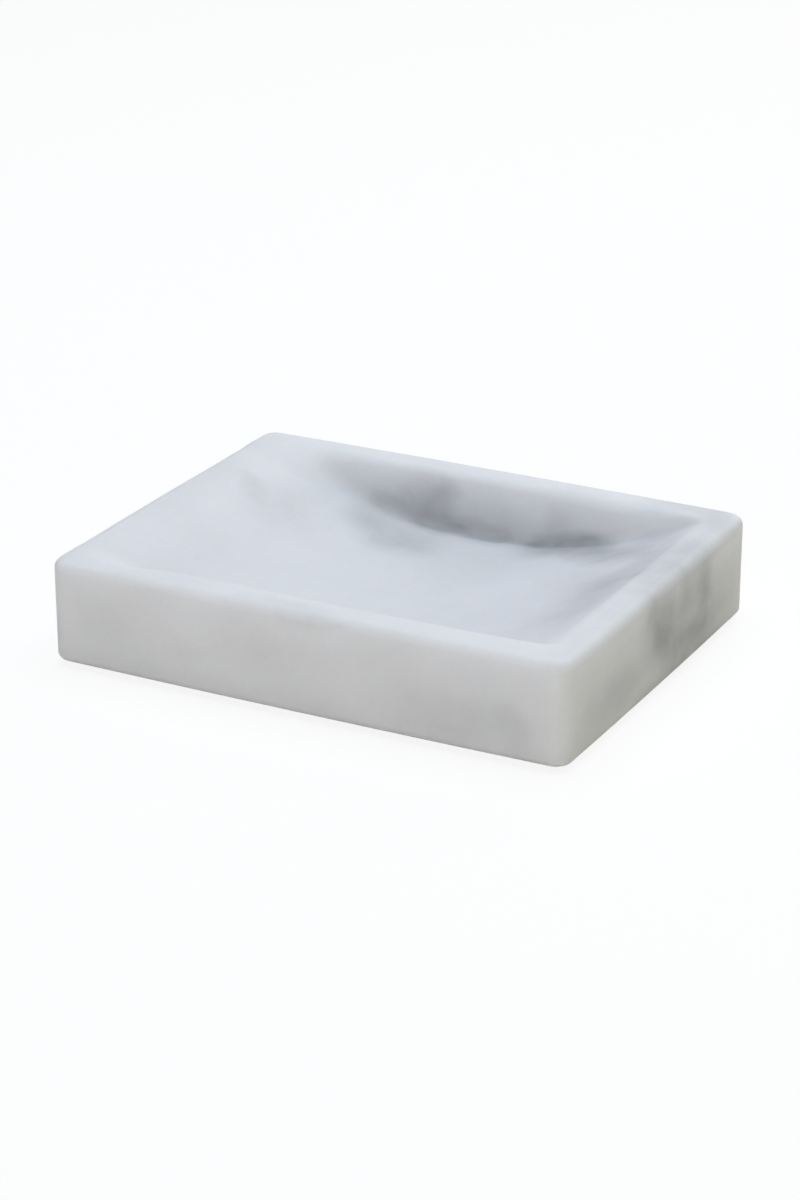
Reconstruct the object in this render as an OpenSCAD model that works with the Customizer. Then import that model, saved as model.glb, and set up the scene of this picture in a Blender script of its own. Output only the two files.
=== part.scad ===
// Soap dish: a solid marble block with a scooped recess, standing on four stick-on pads.
// X runs along the long side, Y from front to back, Z up. The origin is on the surface that
// the dish stands on, under the middle of the block.

/* [Marble block] */
// Length of the block, along X
block_w = 140; // [115:1:180]
// Depth of the block, front to back
block_d = 110; // [85:1:140]
// Height of the block
block_h = 26.5; // [23:0.5:36]
// Radius of the four upright corners, seen from above
corner_r = 4.5; // [2.5:0.5:8]
// Radius that eases the top outer edges
top_edge_r = 1.5; // [0.5:0.25:2]
// Radius that eases the bottom outer edges
bottom_edge_r = 2; // [0.5:0.25:2.5]

/* [Soap recess] */
// Depth of the recess at its lowest point
recess_depth = 16; // [9:0.5:18]
// Width of the rim at each short end
end_rim_w = 7; // [5:0.5:12]
// Width of the rim along each long side, at its middle
side_rim_w = 8.5; // [6:0.5:14]
// Lean of the two long walls of the recess, in degrees
wall_draft = 4; // [1:0.5:8]
// Radius between the curved floor and the two long walls
floor_fillet_r = 2.5; // [1:0.25:4]

/* [Foot pads] */
// Diameter of a pad
pad_dia = 10; // [6:0.5:14]
// Thickness of a pad
pad_h = 1.2; // [0.8:0.1:3]
// Radius of a pad's lower edge
pad_edge_r = 0.3; // [0.1:0.05:0.5]
// Distance from the block's side to a pad's centre
pad_inset = 18; // [12:1:28]
// Thickness of the glue layer between a pad and the block
glue_t = 0.15; // [0.1:0.05:0.3]
// How far the glue layer stops short of the pad's edge
glue_margin = 0.3; // [0.1:0.1:0.6]

/* [Hidden] */
// Sides of every round shape
$fn = 180;
// How far a cutter runs past the face that it opens
overrun = 1;

// Heights of the block's underside and top
underside_z = pad_h + glue_t;
top_z = underside_z + block_h;

// Half the recess's length in the top face
recess_half_w = block_w / 2 - end_rim_w;
// The floor is an arc about an axis along Y, through both ends of the recess and its lowest point
scoop_r = (recess_half_w * recess_half_w + recess_depth * recess_depth) / (2 * recess_depth);
scoop_z = top_z - recess_depth + scoop_r;

// Half the recess's depth, front to back, where a wall would meet the floor with no fillet
floor_half_d = block_d / 2 - side_rim_w - recess_depth * tan(wall_draft);
// Centre of the fillet's arc in the scoop's section, as radius and half depth
fillet_r_pos = scoop_r - floor_fillet_r;
fillet_y_pos = floor_half_d + floor_fillet_r * (tan(wall_draft) - 1 / cos(wall_draft));

// Distances of the pads' centres from the middle of the block
pad_x = block_w / 2 - pad_inset;
pad_y = block_d / 2 - pad_inset;

// What a rounded corner of radius r leaves outside its arc
module corner_waste(r) {
    difference() {
        square(r + overrun);
        circle(r);
    }
}

// Section of a side of the block, from the line through the corner centres outwards
module side_section() {
    difference() {
        square([corner_r, block_h]);
        translate([corner_r - top_edge_r, block_h - top_edge_r])
            corner_waste(top_edge_r);
        translate([corner_r - bottom_edge_r, bottom_edge_r])
            mirror([0, 1])
                corner_waste(bottom_edge_r);
    }
}

// One upright side of the block, facing +Y, with its eased edges
module straight_side(length) {
    translate([-length / 2, 0, 0])
        rotate([90, 0, 90])
            linear_extrude(length)
                side_section();
}

// The block before the recess is cut, standing on z = 0
module eased_block() {
    core_w = block_w - 2 * corner_r;
    core_d = block_d - 2 * corner_r;
    translate([-core_w / 2, -core_d / 2, 0])
        cube([core_w, core_d, block_h]);
    for (side = [0, 1]) {
        rotate(180 * side)
            translate([0, core_d / 2, 0])
                straight_side(core_w);
        rotate(180 * side + 90)
            translate([0, core_w / 2, 0])
                straight_side(core_d);
        mirror([side, 0, 0])
            for (end = [0, 1])
                mirror([0, end, 0])
                    translate([core_w / 2, core_d / 2, 0])
                        rotate_extrude(angle = 90)
                            side_section();
    }
}

// Half section of the wheel that scoops out the recess: radius along X, depth along Y
module scoop_section() {
    wall_end = [fillet_r_pos + floor_fillet_r * sin(wall_draft),
                fillet_y_pos + floor_fillet_r * cos(wall_draft)];
    axis_half_d = floor_half_d + scoop_r * tan(wall_draft);
    polygon([
        [0, -axis_half_d], [wall_end.x, -wall_end.y], [scoop_r, -fillet_y_pos],
        [scoop_r, fillet_y_pos], wall_end, [0, axis_half_d],
    ]);
    for (side = [-1, 1])
        translate([fillet_r_pos, side * fillet_y_pos])
            circle(floor_fillet_r);
}

module dish_body() {
    color("#e3e5e8")
        difference() {
            translate([0, 0, underside_z])
                eased_block();
            translate([0, 0, scoop_z])
                rotate([90, 0, 0])
                    rotate_extrude()
                        scoop_section();
        }
}

// x_side and y_side are -1 or 1 and pick the corner
module foot_pad(x_side, y_side) {
    pad_r = pad_dia / 2;
    color("#d9dcdc")
        translate([x_side * pad_x, y_side * pad_y, 0])
            rotate_extrude()
                difference() {
                    square([pad_r, pad_h]);
                    translate([pad_r - pad_edge_r, pad_edge_r])
                        mirror([0, 1])
                            corner_waste(pad_edge_r);
                }
}

module pad_glue(x_side, y_side) {
    color("#cfcbb8")
        translate([x_side * pad_x, y_side * pad_y, pad_h])
            cylinder(h = glue_t, d = pad_dia - 2 * glue_margin);
}

dish_body();
foot_pad(-1, -1);  // foot_pad_front_left
foot_pad(1, -1);  // foot_pad_front_right
foot_pad(-1, 1);  // foot_pad_back_left
foot_pad(1, 1);  // foot_pad_back_right
pad_glue(-1, -1);  // pad_glue_front_left
pad_glue(1, -1);  // pad_glue_front_right
pad_glue(-1, 1);  // pad_glue_back_left
pad_glue(1, 1);  // pad_glue_back_right
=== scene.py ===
"""The looks of the soap dish: a carved marble block on four clear pads, in soft daylight."""

import math

import bpy
import numpy as np
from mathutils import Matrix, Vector


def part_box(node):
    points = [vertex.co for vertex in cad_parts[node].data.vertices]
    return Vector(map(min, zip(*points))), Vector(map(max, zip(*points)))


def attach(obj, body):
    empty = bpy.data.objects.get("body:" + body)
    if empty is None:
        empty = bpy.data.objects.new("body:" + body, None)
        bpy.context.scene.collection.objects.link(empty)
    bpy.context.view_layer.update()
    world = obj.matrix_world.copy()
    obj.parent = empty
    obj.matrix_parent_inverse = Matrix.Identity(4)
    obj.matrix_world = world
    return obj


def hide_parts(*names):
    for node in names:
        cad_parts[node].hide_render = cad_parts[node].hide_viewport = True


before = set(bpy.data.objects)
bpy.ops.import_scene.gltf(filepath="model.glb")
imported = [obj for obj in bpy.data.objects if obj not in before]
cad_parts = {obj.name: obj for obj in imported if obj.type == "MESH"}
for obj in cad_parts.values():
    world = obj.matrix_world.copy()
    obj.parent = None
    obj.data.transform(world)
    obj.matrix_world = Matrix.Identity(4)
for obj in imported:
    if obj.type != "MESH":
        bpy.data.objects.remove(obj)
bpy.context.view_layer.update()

MM = 0.001

# The block, from the frame
stone_low, stone_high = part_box("dish_body")
HALF_W = stone_high.x
HALF_D = stone_high.y
UNDERSIDE_Z = stone_low.z
TOP_Z = stone_high.z

# The block's edges and recess, at the sizes of the CAD source
CORNER_R = 4.5 * MM
TOP_EDGE_R = 1.5 * MM
BOTTOM_EDGE_R = 2 * MM
RECESS_DEPTH = 16 * MM
END_RIM = 7 * MM
SIDE_RIM = 8.5 * MM
WALL_DRAFT = math.radians(4)
FLOOR_FILLET_R = 2.5 * MM

# The recess as a wheel about an axis along Y
RECESS_HALF_W = HALF_W - END_RIM
SCOOP_R = (RECESS_HALF_W**2 + RECESS_DEPTH**2) / (2 * RECESS_DEPTH)
SCOOP_Z = TOP_Z - RECESS_DEPTH + SCOOP_R
FLOOR_HALF_D = HALF_D - SIDE_RIM - RECESS_DEPTH * math.tan(WALL_DRAFT)

# Hand finishing: how far the easing and the surfaces stray from the exact shape
LONG_SIDE_BOW = 0.6 * MM
SHORT_SIDE_BOW = 0.4 * MM
SIDE_INSET = 0.05 * MM
OUTER_EDGE_EASE = 1 * MM
LEFT_FILLET_R = 8 * MM
RIGHT_RISE = 0.5 * MM

# The radius of the recess's top edge along each side
LEFT_EDGE_R = 5 * MM
RIGHT_EDGE_R = 0.6 * MM
FRONT_EDGE_R = 1 * MM
BACK_EDGE_R = 2 * MM
BACK_RIGHT_EDGE_R = 3.2 * MM

# Where the recess passes from one kind of finish to the next: where the change starts and ends
FROM_LEFT_X = (-56 * MM, -34 * MM)
TO_BACK_Y = (-5 * MM, 25 * MM)
TO_BACK_RIGHT_X = (0, 30 * MM)
TO_RIGHT_X = (44 * MM, 60 * MM)
RIGHT_RISE_X = (50 * MM, 62 * MM)

# Waves in the surfaces: the seed, the wavelength and the height
OUTER_EDGE_WAVE = (11, 30 * MM, 0.4 * MM)
SIDE_WAVE = (12, 35 * MM, SIDE_INSET)
SCOOP_WAVE = (13, 22 * MM, 0.12 * MM)
WALL_WAVE = (14, 16 * MM, 0.24 * MM)
WAVES_IN_A_RIPPLE = 9
WAVELENGTH_SHARES = (0.7, 1.8)

# The camera, fitted to the block's corners in the photograph
PHOTO_H = 1200
FOCAL_PX = 3250
SENSOR = 36
CAMERA_AZIMUTH = math.radians(27.53)
CAMERA_ELEVATION = math.radians(22.44)
CAMERA_DISTANCE = 814.8 * MM
AIM_RIGHT = -1.05 * MM
AIM_UP = 8.61 * MM
NEAREST_SEEN = 10 * MM
FARTHEST_SEEN = 20.0


def make_camera():
    """Stands where the photographer stood and looks at the middle of the block."""
    back = Vector((
        math.sin(CAMERA_AZIMUTH) * math.cos(CAMERA_ELEVATION),
        -math.cos(CAMERA_AZIMUTH) * math.cos(CAMERA_ELEVATION),
        math.sin(CAMERA_ELEVATION),
    ))
    right = Vector((math.cos(CAMERA_AZIMUTH), math.sin(CAMERA_AZIMUTH), 0))
    up = back.cross(right)
    aim = Vector((0, 0, UNDERSIDE_Z)) + right * AIM_RIGHT + up * AIM_UP
    data = bpy.data.cameras.new("camera")
    data.sensor_width = SENSOR
    data.lens = FOCAL_PX * SENSOR / PHOTO_H
    data.clip_start = NEAREST_SEEN
    data.clip_end = FARTHEST_SEEN
    camera = bpy.data.objects.new("camera", data)
    camera.location = aim + back * CAMERA_DISTANCE
    camera.rotation_mode = "QUATERNION"
    camera.rotation_quaternion = (-back).to_track_quat("-Z", "Y")
    bpy.context.scene.collection.objects.link(camera)
    bpy.context.scene.camera = camera


def round_join(a, b, radius):
    """The larger of two distances, with the edge between them rounded to a radius."""
    outside = np.hypot(np.maximum(a + radius, 0), np.maximum(b + radius, 0))
    inside = np.minimum(np.maximum(a + radius, b + radius), 0)
    return outside + inside - radius


def ripple(points, seed, wavelength):
    """A smooth field between -1 and 1 that rises and falls over about a wavelength."""
    rng = np.random.default_rng(seed)
    directions = rng.normal(size=(WAVES_IN_A_RIPPLE, 3))
    directions /= np.linalg.norm(directions, axis=1, keepdims=True)
    lengths = wavelength * rng.uniform(*WAVELENGTH_SHARES, WAVES_IN_A_RIPPLE)
    phases = rng.uniform(0, 2 * math.pi, WAVES_IN_A_RIPPLE)
    angles = points @ (directions / lengths[:, None]).T * 2 * math.pi + phases
    return np.sin(angles).mean(axis=1)


def smooth_step(value, low, high):
    """0 below low, 1 above high, and a smooth rise between them."""
    t = np.clip((value - low) / (high - low), 0, 1)
    return t * t * (3 - 2 * t)


def inner_edge(x, y):
    """The radius of the recess's top edge: softest at the left and sharpest at the right end."""
    back = BACK_EDGE_R + (BACK_RIGHT_EDGE_R - BACK_EDGE_R) * smooth_step(x, *TO_BACK_RIGHT_X)
    long_side = FRONT_EDGE_R + (back - FRONT_EDGE_R) * smooth_step(y, *TO_BACK_Y)
    from_left = LEFT_EDGE_R + (long_side - LEFT_EDGE_R) * smooth_step(x, *FROM_LEFT_X)
    return from_left + (RIGHT_EDGE_R - from_left) * smooth_step(x, *TO_RIGHT_X)


def stone_distance(points, hand=1.0):
    """How far each point lies outside the stone's surface. It is negative in the stone.

    hand is the share of the hand finishing that shows, and 0 is the exact shape.
    """
    def stray(seed, wavelength, height):
        return hand * height * ripple(points, seed, wavelength) if hand else 0

    x, y, z = points.T
    past_x = np.abs(x) - HALF_W + hand * SHORT_SIDE_BOW * (y / HALF_D) ** 2
    past_y = np.abs(y) - HALF_D + hand * LONG_SIDE_BOW * (x / HALF_W) ** 2
    side = round_join(past_x, past_y, CORNER_R)
    outer_edge_r = TOP_EDGE_R + hand * OUTER_EDGE_EASE + stray(*OUTER_EDGE_WAVE)
    block = round_join(side, z - TOP_Z, outer_edge_r)
    block = round_join(block, UNDERSIDE_Z - z, BOTTOM_EDGE_R)
    off_base = smooth_step(z, UNDERSIDE_Z, UNDERSIDE_Z + BOTTOM_EDGE_R)
    block = block + off_base * (hand * SIDE_INSET + stray(*SIDE_WAVE))

    reach = np.hypot(x, z - SCOOP_Z)
    rise = hand * RIGHT_RISE * smooth_step(x, *RIGHT_RISE_X)
    floor = reach - SCOOP_R + stray(*SCOOP_WAVE) + rise
    wall = (np.abs(y) - FLOOR_HALF_D) * math.cos(WALL_DRAFT)
    wall = wall + (reach - SCOOP_R) * math.sin(WALL_DRAFT) + stray(*WALL_WAVE)
    leftward = hand * (1 - smooth_step(x, *FROM_LEFT_X))
    scoop = round_join(floor, wall, FLOOR_FILLET_R + leftward * (LEFT_FILLET_R - FLOOR_FILLET_R))
    return round_join(block, -scoop, inner_edge(x, y))


# How points are moved onto the stone: the probe for its slope, the least slope squared that a
# step is taken by, and the number of steps onto the exact shape and onto the finished one
PROBE = 0.01 * MM
LEAST_SLOPE_SQUARED = 0.05
EXACT_STEPS = 10
FINISH_STEPS = 6


def onto_stone(points, axes, hand, steps):
    """Moves points along the given axes until they lie on the stone's surface."""
    for _ in range(steps):
        value = stone_distance(points, hand)
        slope = np.zeros_like(points)
        for axis in axes:
            shift = np.zeros(3)
            shift[axis] = PROBE
            slope[:, axis] = (stone_distance(points + shift, hand) - value) / PROBE
        steep = np.maximum((slope * slope).sum(axis=1), LEAST_SLOPE_SQUARED)
        points = points - (value / steep)[:, None] * slope
    return points


# How many mesh lines run over each rounded outer edge, near each end, along the middle, over a
# long rim, from a rim down to the recess's floor, across the floor, and up a side
EDGE_LINES = 12
END_LINES = 18
LENGTH_LINES = 84
RIM_LINES = 3
BAND_LINES = 44
FLOOR_LINES = 56
SIDE_LINES = 14
# How strongly the lines crowd over a rounded edge, and how wide the fine stretches are
EDGE_CROWDING = 1.25
END_RUN = 5 * MM
BAND_OUT = 3 * MM
BAND_IN = 5 * MM
# How finely the bands are followed, how much length a turn of one radian counts as, the most
# that one step's turn counts, and how close points are the same point
BAND_SAMPLES = 280
TURN_WEIGHT = 3 * MM
SHARPEST_TURN = 0.1
WELD = 0.001 * MM


def edge_steps():
    """Distances from a sharp edge of lines that fan out evenly over its rounding."""
    fan = 1 - np.tan(np.linspace(math.pi / 4, 0, EDGE_LINES + 1))
    return CORNER_R * fan**EDGE_CROWDING


def spread(*stops):
    """Joins even runs of lines: start, count, next stop, count, and so on."""
    lines = [stops[0]]
    for count, stop in zip(stops[1::2], stops[2::2]):
        lines.extend(np.linspace(lines[-1], stop, count + 1)[1:])
    return np.array(lines)


def grid_lines():
    """Where the mesh lines run along X, Y and Z on the sharp-edged block."""
    steps = edge_steps()
    near_end = RECESS_HALF_W - END_RUN
    flat_w = HALF_W - CORNER_R
    inner_x = spread(-flat_w, END_LINES, -near_end, LENGTH_LINES, near_end, END_LINES, flat_w)[1:-1]
    x = np.concatenate([-HALF_W + steps, inner_x, (HALF_W - steps)[::-1]])
    flat_d = HALF_D - CORNER_R
    out = FLOOR_HALF_D + BAND_OUT + RECESS_DEPTH * math.tan(WALL_DRAFT)
    into = FLOOR_HALF_D - BAND_IN
    front = (-flat_d, RIM_LINES, -out, BAND_LINES, -into)
    back = (into, BAND_LINES, out, RIM_LINES, flat_d)
    inner_y = spread(*front, FLOOR_LINES, *back)
    y = np.concatenate([-HALF_D + steps, inner_y[1:-1], (HALF_D - steps)[::-1]])
    inner_z = spread(UNDERSIDE_Z + CORNER_R, SIDE_LINES, TOP_Z - CORNER_R)[1:-1]
    z = np.concatenate([UNDERSIDE_Z + steps, inner_z, (TOP_Z - steps)[::-1]])
    return x, y, z


def section_corners(x):
    """The recess in the section at x: the height of its floor and the place of its wall's top."""
    reach = min(abs(x), RECESS_HALF_W)
    floor_z = SCOOP_Z - math.sqrt(SCOOP_R**2 - reach**2)
    top_reach = math.hypot(reach, SCOOP_Z - TOP_Z)
    return floor_z, FLOOR_HALF_D + (SCOOP_R - top_reach) * math.tan(WALL_DRAFT)


def evenly_along(line, count, turn_weight):
    """Points along a line, evenly spread but closer where it turns."""
    steps = np.diff(line, axis=0)
    heading = np.unwrap(np.arctan2(steps[:, 2], np.abs(steps[:, 1])))
    turn = np.minimum(np.abs(np.diff(heading, prepend=heading[0])), SHARPEST_TURN)
    cost = np.linalg.norm(steps, axis=1) + turn_weight * turn
    travelled = np.concatenate([[0], np.cumsum(cost)])
    wanted = np.linspace(0, travelled[-1], count)
    return np.stack([np.interp(wanted, travelled, line[:, i]) for i in range(3)], axis=1)


def recess_bands(x_lines, side, out, into):
    """For each section, the points from the rim over the recess's edge and wall to its floor."""
    lines = []
    for x in x_lines:
        floor_z, wall_y = section_corners(x)
        y = [out, wall_y, FLOOR_HALF_D, into]
        z = [TOP_Z, TOP_Z, floor_z, floor_z]
        corners = np.stack([np.full(4, x), np.array(y) * side, z], axis=1)
        lines.append(evenly_along(corners, BAND_SAMPLES, 0))
    lines = np.array(lines)
    middle = lines[:, 1:-1].reshape(-1, 3)
    lines[:, 1:-1] = onto_stone(middle, (1, 2), 0, EXACT_STEPS).reshape(len(lines), -1, 3)
    lines[:, -1] = onto_stone(lines[:, -1], (2,), 0, EXACT_STEPS)
    even = [evenly_along(line, BAND_SAMPLES // 2, 0) for line in lines]
    return np.array([evenly_along(line, BAND_LINES + 1, TURN_WEIGHT) for line in even])


def top_grid(x_lines, y_lines):
    """The top's mesh points, crowded where the recess's walls stand."""
    points = np.zeros((len(x_lines), len(y_lines), 3))
    points[..., 0] = x_lines[:, None]
    points[..., 1] = y_lines[None, :]
    points[..., 2] = TOP_Z
    first = EDGE_LINES + RIM_LINES
    last = len(y_lines) - 1 - first
    out = y_lines[last]
    into = y_lines[last - BAND_LINES]
    inner = np.flatnonzero(np.abs(x_lines) <= HALF_W - CORNER_R)
    front = recess_bands(x_lines[inner], -1, out, into)
    back = recess_bands(x_lines[inner], 1, out, into)[:, ::-1]
    points[inner, first:first + BAND_LINES + 1] = front
    points[inner, last - BAND_LINES:last + 1] = back
    floor = np.arange(first + BAND_LINES, last - BAND_LINES + 1)
    for row in inner:
        ends = points[row, floor[[0, -1]], 1]
        points[row, floor, 1] = np.linspace(*ends, len(floor))
        points[row, floor, 2] = section_corners(x_lines[row])[0]
    return points


def flat_grid(first_lines, second_lines, make):
    """A grid of points on one face of the sharp-edged block."""
    a, b = np.meshgrid(first_lines, second_lines, indexing="ij")
    return np.stack(np.broadcast_arrays(*make(a, b)), axis=-1).astype(float)


def stone_mesh():
    """The block's whole surface as one closed mesh of quads."""
    x, y, z = grid_lines()
    grids = [
        top_grid(x, y),
        flat_grid(x, y, lambda a, b: (a, b, UNDERSIDE_Z)),
        flat_grid(x, z, lambda a, b: (a, -HALF_D, b)),
        flat_grid(x, z, lambda a, b: (a, HALF_D, b)),
        flat_grid(y, z, lambda a, b: (-HALF_W, a, b)),
        flat_grid(y, z, lambda a, b: (HALF_W, a, b)),
    ]
    outward = [True, False, True, False, False, True]
    points = np.concatenate([g.reshape(-1, 3) for g in grids])
    keys = np.round(points / WELD).astype(np.int64)
    _, first, welded = np.unique(keys, axis=0, return_index=True, return_inverse=True)
    faces = []
    start = 0
    for grid, out in zip(grids, outward):
        rows, columns = grid.shape[:2]
        number = welded.reshape(-1)[start:start + rows * columns].reshape(rows, columns)
        start += rows * columns
        quad = [number[:-1, :-1], number[1:, :-1], number[1:, 1:], number[:-1, 1:]]
        quad = quad if out else quad[::-1]
        faces.append(np.stack(quad, axis=-1).reshape(-1, 4))
    points = onto_stone(points[first], (0, 1, 2), 1, FINISH_STEPS)
    mesh = bpy.data.meshes.new("marble_block")
    mesh.from_pydata(points.tolist(), [], np.concatenate(faces).tolist())
    mesh.shade_smooth()
    mesh.validate()
    return mesh


class Graph:
    """Short calls for building a material's nodes."""

    def __init__(self, name):
        self.material = bpy.data.materials.new(name)
        self.material.use_nodes = True
        self.tree = self.material.node_tree
        self.shader = self.tree.nodes["Principled BSDF"]
        self.output = self.tree.nodes["Material Output"]

    def add(self, kind, **settings):
        node = self.tree.nodes.new(kind)
        for key, value in settings.items():
            setattr(node, key, value)
        return node

    def feed(self, socket, value):
        if isinstance(value, bpy.types.NodeSocket):
            self.tree.links.new(value, socket)
        else:
            socket.default_value = value

    def math(self, operation, *values, clamp=False):
        node = self.add("ShaderNodeMath", operation=operation, use_clamp=clamp)
        for socket, value in zip(node.inputs, values):
            self.feed(socket, value)
        return node.outputs[0]

    def vector(self, operation, *values):
        node = self.add("ShaderNodeVectorMath", operation=operation)
        for socket, value in zip(node.inputs, values):
            self.feed(socket, value)
        return node

    def ramp(self, value, low, high, to_low=0.0, to_high=1.0):
        node = self.add("ShaderNodeMapRange", interpolation_type="SMOOTHSTEP")
        for socket, number in zip(node.inputs, (value, low, high, to_low, to_high)):
            self.feed(socket, number)
        return node.outputs[0]

    def mix(self, factor, first, second):
        node = self.add("ShaderNodeMix", data_type="RGBA")
        self.feed(node.inputs["Factor"], factor)
        self.feed(node.inputs["A"], first)
        self.feed(node.inputs["B"], second)
        return node.outputs["Result"]

    def noise(self, coordinates, size, detail=3.0, roughness=0.5):
        """Noise whose features are about size across, in metres."""
        node = self.add("ShaderNodeTexNoise")
        self.feed(node.inputs["Vector"], coordinates)
        self.feed(node.inputs["Scale"], 1 / size)
        self.feed(node.inputs["Detail"], detail)
        self.feed(node.inputs["Roughness"], roughness)
        return node

    def split(self, vector):
        node = self.add("ShaderNodeSeparateXYZ")
        self.feed(node.inputs[0], vector)
        return node.outputs

    def join(self, *values):
        node = self.add("ShaderNodeCombineXYZ")
        for socket, value in zip(node.inputs, values):
            self.feed(socket, value)
        return node.outputs[0]

    def place(self):
        """Coordinates in metres, in the part's own frame."""
        return self.add("ShaderNodeTexCoord").outputs["Object"]


WHITE_STONE = (0.80, 0.81, 0.83, 1)
# The grey of the veins, also used for the painted shade in the recess, its crease and at the right
# foot.
STONE_AND_SHADE_GREY = (0.41, 0.42, 0.44, 1)

# Grey clouds in the stone, and painted shade: the wall, seam and floor clouds are painted shade in
# the recess mixed with grey veining, and the cloud at the right face's foot is a painted contact
# shadow. In millimetres from the middle of the block's underside: the middle, the heading of the
# way across and the lean of the way along in degrees, the reach behind and ahead across, the reach
# along, the reach up and down, and the strength
CLOUDS_AND_SHADE = {
    "wall_dark": ((-12, 46, 16), (0, 0), (27, 7.5, 7, 15), 0.47),
    "wall_crease": ((-9, 46, 20.5), (0, 0), (8, 5, 5, 6), 0.3),
    "wall_shade": ((-4, 47, 12), (0, 0), (42, 46, 5, 12), 0.18),
    "wall_streak": ((20, 46, 17), (0, 0), (4, 7, 6, 7), 0.2),
    "wall_right": ((50, 46, 14.5), (0, 0), (12, 12, 6, 7), 0.38),
    "seam_right": ((25, 46, 10), (0, 0), (20, 30, 6, 7), 0.7),
    "seam_middle": ((-3, 46.5, 11.5), (0, 0), (20, 18, 4, 4), 0.3),
    "seam_left": ((-24, 46.5, 13.5), (0, 0), (14, 14, 4, 5), 0.18),
    "floor_back": ((40, 33, 17), (65, -16), (9, 10, 27, 7), 0.5),
    "floor_seam": ((25, 42, 13), (86, -11), (13, 7, 20, 5), 0.6),
    "floor_right": ((60.5, 4, 23), (0, 0), (33, 6, 46, 14), 0.48),
    "floor_wide": ((38, 18, 18), (0, 0), (18, 14, 22, 9), 0.14),
    "floor_shade": ((-18, 31, 12), (10, 0), (17, 20, 15, 7), 0.4),
    "floor_corner": ((50, 40, 20), (90, -20), (12, 7, 19, 5), 0.36),
    "floor_far": ((-29, 38, 14), (0, 0), (12, 12, 13, 6), 0.3),
    "floor_left": ((-50, 20, 18), (0, 0), (18, 26, 26, 9), 0.16),
    "floor_front": ((-5, -24, 11), (0, 0), (7, 7, 8, 6), 0.14),
    "rim_left": ((-66, 18, 27), (0, 0), (8, 12, 40, 7), 0.1),
    "rim_right": ((66.5, 17, 27), (0, 0), (9.5, 8, 30, 6), 0.32),
    "rim_inner": ((61.5, 1, 26), (0, 0), (3.5, 5, 24, 5), 0.17),
    "rim_far": ((66, 42, 27), (0, 0), (9, 9, 9, 5), 0.26),
    "rim_long": ((67, 0, 27), (0, 0), (9, 9, 75, 7), 0.17),
    "rim_corner": ((60, 52, 27), (0, 0), (28, 12, 14, 6), 0.36),
    "top_smudge": ((-55, 21, 24), (42, 0), (5, 5, 10, 8), 0.18),
    "smudge_tail": ((-46, 24, 19), (70, 0), (6, 6, 10, 6), 0.07),
    "right_near": ((70, 0, 14.5), (0, -50), (12, 8, 20, 14), 0.74),
    "right_low": ((70, 17, 7), (0, 0), (12, 8, 24, 8), 0.62),
    "right_far": ((70, 25, 17), (0, -80), (12, 8, 15, 10), 0.56),
    "right_between": ((70, 14, 18), (0, 0), (8, 8, 9, 11), 0.42),
    "right_base": ((70, 30, 10), (0, 0), (10, 8, 28, 15), 0.3),
    # Painted shadow: darkening along the foot of the right face, where the block meets the floor.
    "right_foot": ((70, 14, -1), (0, 0), (8, 8, 42, 7), 0.7),
    "right_front": ((70, -24, 8.5), (0, 0), (10, 8, 28, 9), 0.26),
    "front_low": ((57, -55, 7), (90, 60), (9, 9, 9, 6), 0.18),
    "front_wide": ((43, -55, 8.5), (90, 0), (9, 9, 30, 9), 0.2),
    "front_top": ((0, -54, 26), (90, 0), (6, 6, 22, 5), 0.24),
    "front_haze": ((34, -55, 19), (90, 0), (8, 8, 44, 12), 0.06),
    "front_spot": ((12, -55, 25.5), (90, 0), (2, 2, 3.5, 2.5), 0.25),
    "front_middle": ((-10, -55, 16), (90, 0), (8, 8, 22, 16), 0.16),
    "front_left": ((-56, -55, 14), (90, 30), (8, 8, 14, 8), 0.07),
    "front_faint": ((-31, -55, 10.5), (90, 0), (6, 6, 9, 5), 0.08),
    "back_left": ((-36, 55, 14), (90, 30), (8, 7, 30, 5), 0.42),
    "back_middle": ((4, 55, 19), (90, -20), (7, 6, 16, 5), 0.22),
    "back_right": ((46, 55, 8), (90, 12), (8, 7, 24, 7), 0.38),
    "left_thin": ((-70, 25, 14), (0, 70), (5, 6, 16, 5), 0.4),
    "left_faint": ((-70, -20, 9), (0, -20), (8, 8, 20, 8), 0.25),
    "under_left": ((-30, 10, 0), (64, 0), (14, 5, 42, 6), 0.45),
    "under_right": ((34, -18, 0), (70, 0), (7, 11, 36, 6), 0.35),
}
# Painted shade in the recess, mixed with grey veining: the clouds that show in the recess only, by
# how their names start, and the heights between which they fade out towards the rims
RECESS_SHADE_CLOUDS = ("wall", "seam", "floor")
RECESS_SHADE_FADE_Z = (TOP_Z - 0.9 * MM, TOP_Z - 0.05 * MM)
# How far out of a cloud's middle it keeps its whole strength, as a share of its reach
CLOUD_CORE_SHARE = 0.15


def cloud(graph, place, middle, turn, reach, strength):
    """One soft grey patch: strength in its middle, 0 beyond its reach."""
    heading, lean = turn
    behind, ahead, along, upright = reach
    turned = graph.add("ShaderNodeMapping", vector_type="TEXTURE")
    graph.feed(turned.inputs["Vector"], place)
    turned.inputs["Location"].default_value = [value * MM for value in middle]
    turned.inputs["Rotation"].default_value = (math.radians(lean), 0, math.radians(heading))
    across, beside, up = graph.split(turned.outputs[0])
    forward = graph.math("MULTIPLY", across, 1 / (ahead * MM))
    backward = graph.math("MULTIPLY", across, -1 / (behind * MM))
    scaled = (
        graph.math("MAXIMUM", forward, backward),
        graph.math("MULTIPLY", beside, 1 / (along * MM)),
        graph.math("MULTIPLY", up, 1 / (upright * MM)),
    )
    away = graph.vector("LENGTH", graph.join(*scaled)).outputs["Value"]
    return graph.ramp(away, CLOUD_CORE_SHARE, 1.0, strength, 0.0)


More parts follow.
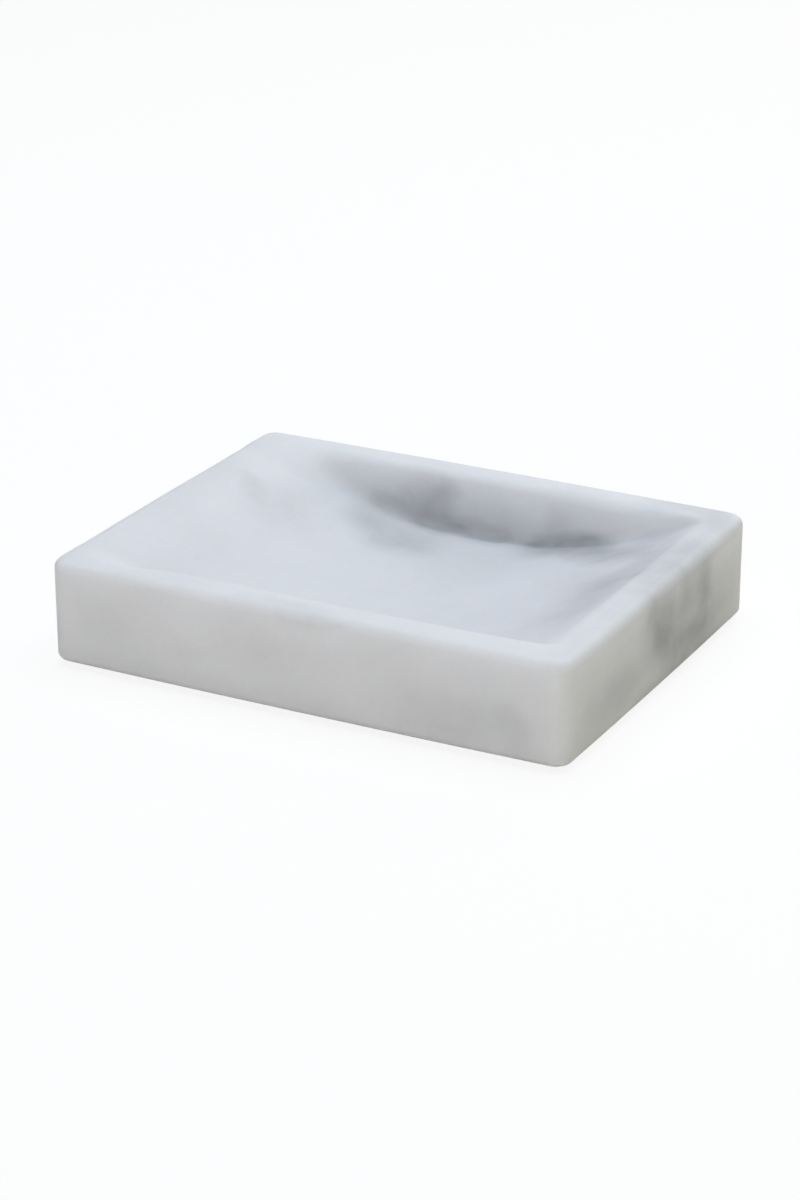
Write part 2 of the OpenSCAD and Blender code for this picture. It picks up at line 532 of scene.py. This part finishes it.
# How the stone's shapes are bent: the size of each noise and how far it pushes
BENDS = ((24 * MM, 9 * MM), (6 * MM, 1.5 * MM))
BEND_DETAIL = 2.0
NOISE_MIDDLE = (0.5, 0.5, 0.5)


def bend(graph, place, size, shift):
    """Coordinates pushed about by noise, so that shapes drawn in them look natural."""
    noise = graph.noise(place, size, BEND_DETAIL).outputs["Color"]
    centred = graph.vector("SUBTRACT", noise, NOISE_MIDDLE).outputs[0]
    pushed = graph.vector("SCALE", centred)
    pushed.inputs["Scale"].default_value = shift
    return graph.vector("ADD", place, pushed.outputs[0]).outputs[0]


def lay_relief(graph, height, depth):
    """Raises the surface by a height map, to a depth in metres."""
    relief = graph.add("ShaderNodeBump")
    relief.inputs["Distance"].default_value = depth
    graph.feed(relief.inputs["Height"], height)
    graph.feed(graph.shader.inputs["Normal"], relief.outputs[0])


# Painted crease shade: the grey line between the recess's floor and walls, and where along X it
# fades
SEAM_CORE = 0.5 * MM
SEAM_WIDTH = 2 * MM
SEAM_SHADE_GREY = 0.45
SEAM_MIDDLE_X = 15 * MM
SEAM_FADE = (16 * MM, 44 * MM)


def seam(graph, place):
    """Painted crease shade: a soft line along the foot of the recess's walls, fading out towards
    its ends.
    """
    x, y, z = graph.split(place)
    reach = graph.vector("LENGTH", graph.join(x, 0.0, graph.math("SUBTRACT", z, SCOOP_Z)))
    off_floor = graph.math("SUBTRACT", reach.outputs["Value"], SCOOP_R)
    off_wall = graph.math("SUBTRACT", graph.math("ABSOLUTE", y), FLOOR_HALF_D)
    away = graph.vector("LENGTH", graph.join(off_floor, off_wall, 0.0)).outputs["Value"]
    line = graph.ramp(away, SEAM_CORE, SEAM_WIDTH, SEAM_SHADE_GREY, 0.0)
    from_middle = graph.math("ABSOLUTE", graph.math("SUBTRACT", x, SEAM_MIDDLE_X))
    return graph.math("MULTIPLY", line, graph.ramp(from_middle, *SEAM_FADE, 1.0, 0.0))


def in_recess(graph, place):
    """1 below the rims, and 0 on top of them: the mask that keeps the painted recess shade off the
    rims.
    """
    height = graph.split(place)[2]
    return graph.ramp(height, *RECESS_SHADE_FADE_Z, 1.0, 0.0)


# Wisps and haze in the stone: the size of their noise, the values between which it rises, and
# how much of the grey they take or add
WISP_SIZE = 11 * MM
WISP_RISE = (0.3, 0.7)
WISPS = 0.4
HAZE_SIZE = 30 * MM
HAZE_RISE = (0.35, 0.75)
HAZE_DETAIL = 5.0
HAZE_ROUGHNESS = 0.55
HAZE = 0.10
CRYSTAL_SIZE = 0.9 * MM
CRYSTAL_TINT = 0.03


def grey_and_painted_shade(graph, place, tint):
    """How grey each place is: clouds and veins with painted recess and crease shade, worn by wisps,
    haze and crystals.
    """
    bent = place
    for size, shift in BENDS:
        bent = bend(graph, bent, size, shift)
    above = graph.vector("SUBTRACT", bent, (0, 0, UNDERSIDE_Z)).outputs[0]
    grey = 0.0
    # Painted shade: the wall, seam and floor clouds are kept to the recess below the rims.
    recess_shade = in_recess(graph, place)
    # The seam's line is painted shade in the crease at the walls' foot.
    patches = [seam(graph, bent)]
    for name, shape in CLOUDS_AND_SHADE.items():
        patch = cloud(graph, above, *shape)
        if name.startswith(RECESS_SHADE_CLOUDS):
            patch = graph.math("MULTIPLY", patch, recess_shade)
        patches.append(patch)
    for patch in patches:
        clear = graph.math("SUBTRACT", 1.0, grey)
        grey = graph.math("MULTIPLY_ADD", patch, clear, grey)
    wisps = graph.ramp(graph.noise(bent, WISP_SIZE).outputs["Fac"], *WISP_RISE)
    worn = graph.math("MULTIPLY_ADD", wisps, WISPS, 1 - WISPS / 2)
    grey = graph.math("MULTIPLY", grey, worn)
    mist = graph.noise(bent, HAZE_SIZE, HAZE_DETAIL, HAZE_ROUGHNESS).outputs["Fac"]
    haze = graph.ramp(mist, *HAZE_RISE, 0.0, HAZE)
    grain = graph.math("MULTIPLY", tint, CRYSTAL_TINT)
    return graph.math("ADD", graph.math("ADD", grey, haze), grain, clamp=True)


# The honed finish: its mean roughness, and how far smears and crystals change it
STONE_ROUGHNESS = 0.5
SMEAR_SIZE = 12 * MM
SMEAR_DETAIL = 4.0
SMEAR_ROUGHNESS = 0.12
CRYSTAL_ROUGHNESS = 0.08
# Fine marks left by honing, with the crystals standing up among them
HONING_SIZE = 1.6 * MM
CRYSTAL_RELIEF_SHARE = 0.5
STONE_RELIEF = 0.01 * MM
# How much of the light sinks in, how far it goes, and how far each of its colours goes
STONE_DEPTH = 0.8
STONE_GLOW = 14 * MM
STONE_GLOW_SHARES = (1.0, 0.92, 0.85)


def marble():
    """White marble with soft grey clouds, partly painted shade, faint haze and fine crystals."""
    graph = Graph("marble")
    place = graph.place()
    crystals = graph.add("ShaderNodeTexVoronoi")
    graph.feed(crystals.inputs["Vector"], place)
    crystals.inputs["Scale"].default_value = 1 / CRYSTAL_SIZE
    tint = graph.split(crystals.outputs["Color"])[0]
    grey = grey_and_painted_shade(graph, place, tint)
    shader = graph.shader.inputs
    graph.feed(shader["Base Color"], graph.mix(grey, WHITE_STONE, STONE_AND_SHADE_GREY))
    smear = graph.noise(place, SMEAR_SIZE, SMEAR_DETAIL).outputs["Fac"]
    smoothest = STONE_ROUGHNESS - SMEAR_ROUGHNESS / 2
    gloss = graph.math("MULTIPLY_ADD", smear, SMEAR_ROUGHNESS, smoothest)
    graph.feed(shader["Roughness"], graph.math("MULTIPLY_ADD", tint, CRYSTAL_ROUGHNESS, gloss))
    honing = graph.noise(place, HONING_SIZE).outputs["Fac"]
    relief = graph.math("MULTIPLY_ADD", tint, CRYSTAL_RELIEF_SHARE, honing)
    lay_relief(graph, relief, STONE_RELIEF)
    shader["Subsurface Weight"].default_value = STONE_DEPTH
    shader["Subsurface Radius"].default_value = STONE_GLOW_SHARES
    shader["Subsurface Scale"].default_value = STONE_GLOW
    return graph.material


PAD_CLEAR = (0.66, 0.69, 0.68, 1)
PAD_MILKY = (0.80, 0.81, 0.80, 1)
MILK_SIZE = 2.5 * MM
MILK_DETAIL = 4.0
MILK_RISE = (0.35, 0.65)
FROST_SIZE = 0.12 * MM
FROST_DETAIL = 2.0
FROST_ROUGHNESS = 0.25
FROST_RELIEF = 0.01 * MM
PAD_ROUGHNESS = 0.22
PAD_DEPTH = 0.8
PAD_GLOW = 1.5 * MM


def clear_pad():
    """Frosted clear polyurethane: milky in places, with a fine moulded grain."""
    graph = Graph("clear_pad")
    place = graph.place()
    shader = graph.shader.inputs
    milk = graph.ramp(graph.noise(place, MILK_SIZE, MILK_DETAIL).outputs["Fac"], *MILK_RISE)
    graph.feed(shader["Base Color"], graph.mix(milk, PAD_CLEAR, PAD_MILKY))
    frost = graph.noise(place, FROST_SIZE, FROST_DETAIL).outputs["Fac"]
    roughness = graph.math("MULTIPLY_ADD", frost, FROST_ROUGHNESS, PAD_ROUGHNESS)
    graph.feed(shader["Roughness"], roughness)
    lay_relief(graph, frost, FROST_RELIEF)
    shader["Subsurface Weight"].default_value = PAD_DEPTH
    shader["Subsurface Scale"].default_value = PAD_GLOW
    return graph.material


GLUE_FILM = (0.72, 0.69, 0.60, 1)
GLUE_THIN = (0.62, 0.58, 0.48, 1)
BUBBLE_SIZE = 0.7 * MM
BUBBLE_RIM_SHARES = (0.15, 0.35)
FIBRE_SIZE = 1.2 * MM
FIBRE_STRETCH = (1, 6, 1)
FIBRE_RISE = (0.25, 0.6)
GLUE_ROUGHNESS = 0.4
FILM_ROUGHNESS = 0.2
GLUE_RELIEF = 0.01 * MM


def pad_glue():
    """A thin adhesive film, with small pressed bubbles and fine fibres."""
    graph = Graph("pad_glue")
    place = graph.place()
    shader = graph.shader.inputs
    bubbles = graph.add("ShaderNodeTexVoronoi")
    graph.feed(bubbles.inputs["Vector"], place)
    bubbles.inputs["Scale"].default_value = 1 / BUBBLE_SIZE
    rings = graph.ramp(bubbles.outputs["Distance"], *BUBBLE_RIM_SHARES)
    stretched = graph.vector("MULTIPLY", place, FIBRE_STRETCH).outputs[0]
    fibres = graph.ramp(graph.noise(stretched, FIBRE_SIZE).outputs["Fac"], *FIBRE_RISE)
    worn = graph.math("MULTIPLY", rings, fibres)
    graph.feed(shader["Base Color"], graph.mix(worn, GLUE_THIN, GLUE_FILM))
    roughness = graph.math("MULTIPLY_ADD", worn, FILM_ROUGHNESS, GLUE_ROUGHNESS)
    graph.feed(shader["Roughness"], roughness)
    lay_relief(graph, worn, GLUE_RELIEF)
    return graph.material


def add_object(name, data):
    made = bpy.data.objects.new(name, data)
    bpy.context.scene.collection.objects.link(made)
    return made


def make_stone():
    stone = add_object("marble_block", stone_mesh())
    stone.data.materials.append(marble())
    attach(stone, "root")
    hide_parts("dish_body")


def finish_pads():
    """Gives the CAD's own pads and adhesive layers their materials."""
    finishes = {"foot_pad": clear_pad(), "pad_glue": pad_glue()}
    for name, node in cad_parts.items():
        for start, material in finishes.items():
            if name.startswith(start):
                node.data.materials.clear()
                node.data.materials.append(material)


FLOOR_SIZE = 12.0
FLOOR_DROP = 0.02 * MM
FLOOR_GLOW = 0.88
FLOOR_SHADE = 0.14
FLOOR_BOUNCE = (0.93, 0.87, 0.77, 1)


def make_floor():
    """A white table. The camera sees it pale, with only a faint shadow of the dish."""
    graph = Graph("table_top")
    graph.shader.inputs["Base Color"].default_value = FLOOR_BOUNCE
    graph.shader.inputs["Roughness"].default_value = 1.0
    glow = graph.add("ShaderNodeEmission")
    glow.inputs["Strength"].default_value = FLOOR_GLOW
    shade = graph.add("ShaderNodeBsdfDiffuse")
    shade.inputs["Color"].default_value = (FLOOR_SHADE, FLOOR_SHADE, FLOOR_SHADE, 1)
    seen = graph.add("ShaderNodeAddShader")
    graph.tree.links.new(glow.outputs[0], seen.inputs[0])
    graph.tree.links.new(shade.outputs[0], seen.inputs[1])
    pick = graph.add("ShaderNodeMixShader")
    graph.tree.links.new(graph.add("ShaderNodeLightPath").outputs["Is Camera Ray"], pick.inputs[0])
    graph.tree.links.new(graph.shader.outputs[0], pick.inputs[1])
    graph.tree.links.new(seen.outputs[0], pick.inputs[2])
    graph.tree.links.new(pick.outputs[0], graph.output.inputs["Surface"])
    half = FLOOR_SIZE / 2
    mesh = bpy.data.meshes.new("table_top")
    corners = [(-half, -half), (half, -half), (half, half), (-half, half)]
    mesh.from_pydata([(x, y, -FLOOR_DROP) for x, y in corners], [], [(0, 1, 2, 3)])
    mesh.materials.append(graph.material)
    add_object("table_top", mesh)


WORLD_LIGHT = (0.02, 0.02, 0.02, 1)


def make_world():
    """A faint even light on the dish, and plain white for the camera and for reflections."""
    world = bpy.data.worlds.new("studio")
    bpy.context.scene.world = world
    world.use_nodes = True
    tree = world.node_tree
    path = tree.nodes.new("ShaderNodeLightPath")
    seen = path.outputs["Is Camera Ray"]
    for kind in ("Is Glossy Ray", "Is Transmission Ray"):
        either = tree.nodes.new("ShaderNodeMath")
        either.operation = "MAXIMUM"
        tree.links.new(seen, either.inputs[0])
        tree.links.new(path.outputs[kind], either.inputs[1])
        seen = either.outputs[0]
    pick = tree.nodes.new("ShaderNodeMixShader")
    light = tree.nodes["Background"]
    light.inputs["Color"].default_value = WORLD_LIGHT
    white = tree.nodes.new("ShaderNodeBackground")
    white.inputs["Color"].default_value = (1, 1, 1, 1)
    tree.links.new(seen, pick.inputs[0])
    tree.links.new(light.outputs[0], pick.inputs[1])
    tree.links.new(white.outputs[0], pick.inputs[2])
    tree.links.new(pick.outputs[0], tree.nodes["World Output"].inputs["Surface"])


# Each lamp: where it stands in metres, its width and height, its power and its colour
LAMPS = {
    "overhead": ((0.0, 0.1, 1.2), 1.2, 1.2, 12.9, (0.82, 0.89, 1.0)),
    "over_right": ((0.9, 0.2, 0.9), 0.8, 0.8, 1.0, (0.97, 1.0, 0.3)),
    "back": ((0.1, 1.3, 0.8), 1.2, 0.8, 4.8, (0.99, 0.93, 1.0)),
    "front_low": ((0.2, -1.5, 0.2), 1.2, 0.35, 6.4, (1.0, 0.98, 0.985)),
}


def make_lamps():
    for name, (spot, width, height, power, colour) in LAMPS.items():
        data = bpy.data.lights.new(name, "AREA")
        data.shape = "RECTANGLE"
        data.size = width
        data.size_y = height
        data.energy = power
        data.color = colour
        lamp = add_object(name, data)
        lamp.location = spot
        aim = Vector((0, 0, TOP_Z)) - lamp.location
        lamp.rotation_euler = aim.to_track_quat("-Z", "Y").to_euler()
        lamp.visible_camera = False


make_camera()
make_stone()
finish_pads()
make_floor()
make_world()
make_lamps()
bpy.context.scene.view_settings.view_transform = "Standard"
